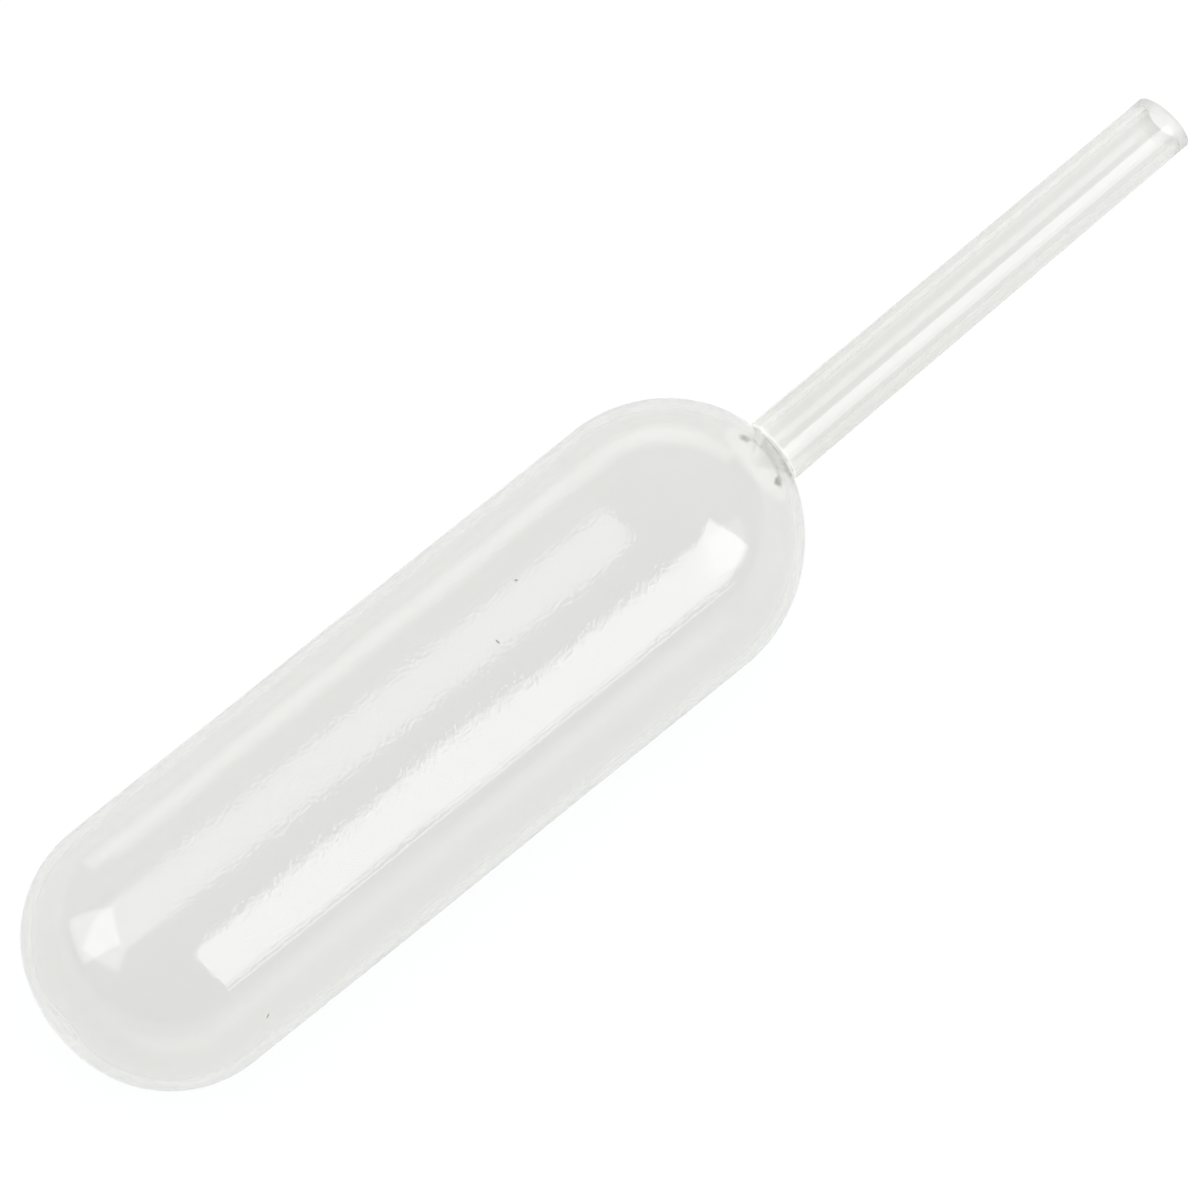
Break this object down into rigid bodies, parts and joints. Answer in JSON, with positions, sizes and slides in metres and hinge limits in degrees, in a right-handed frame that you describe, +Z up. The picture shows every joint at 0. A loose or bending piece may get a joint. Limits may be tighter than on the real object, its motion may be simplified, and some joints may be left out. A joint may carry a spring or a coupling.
{
  "type": "dropper pipette",
  "caption": "One-piece squeeze dropper: a round-ended translucent bulb with a slim, straight open stem.",
  "frame": {"origin": "on the resting surface, under the middle of the overall length and the middle of the bulb's width", "axes": "+X along the bulb's axis towards the open tip, +Z up from the surface that the bulb lies on; the stem leans 1.4 degrees from +X towards +Y"},
  "size_m": [0.0664, 0.013, 0.013],
  "materials": {
    "soft_polyethylene": "translucent, milky, natural, smooth as blown"
  },
  "bodies": {
    "root": {"pipette": "soft_polyethylene"}
  },
  "joints": []
}
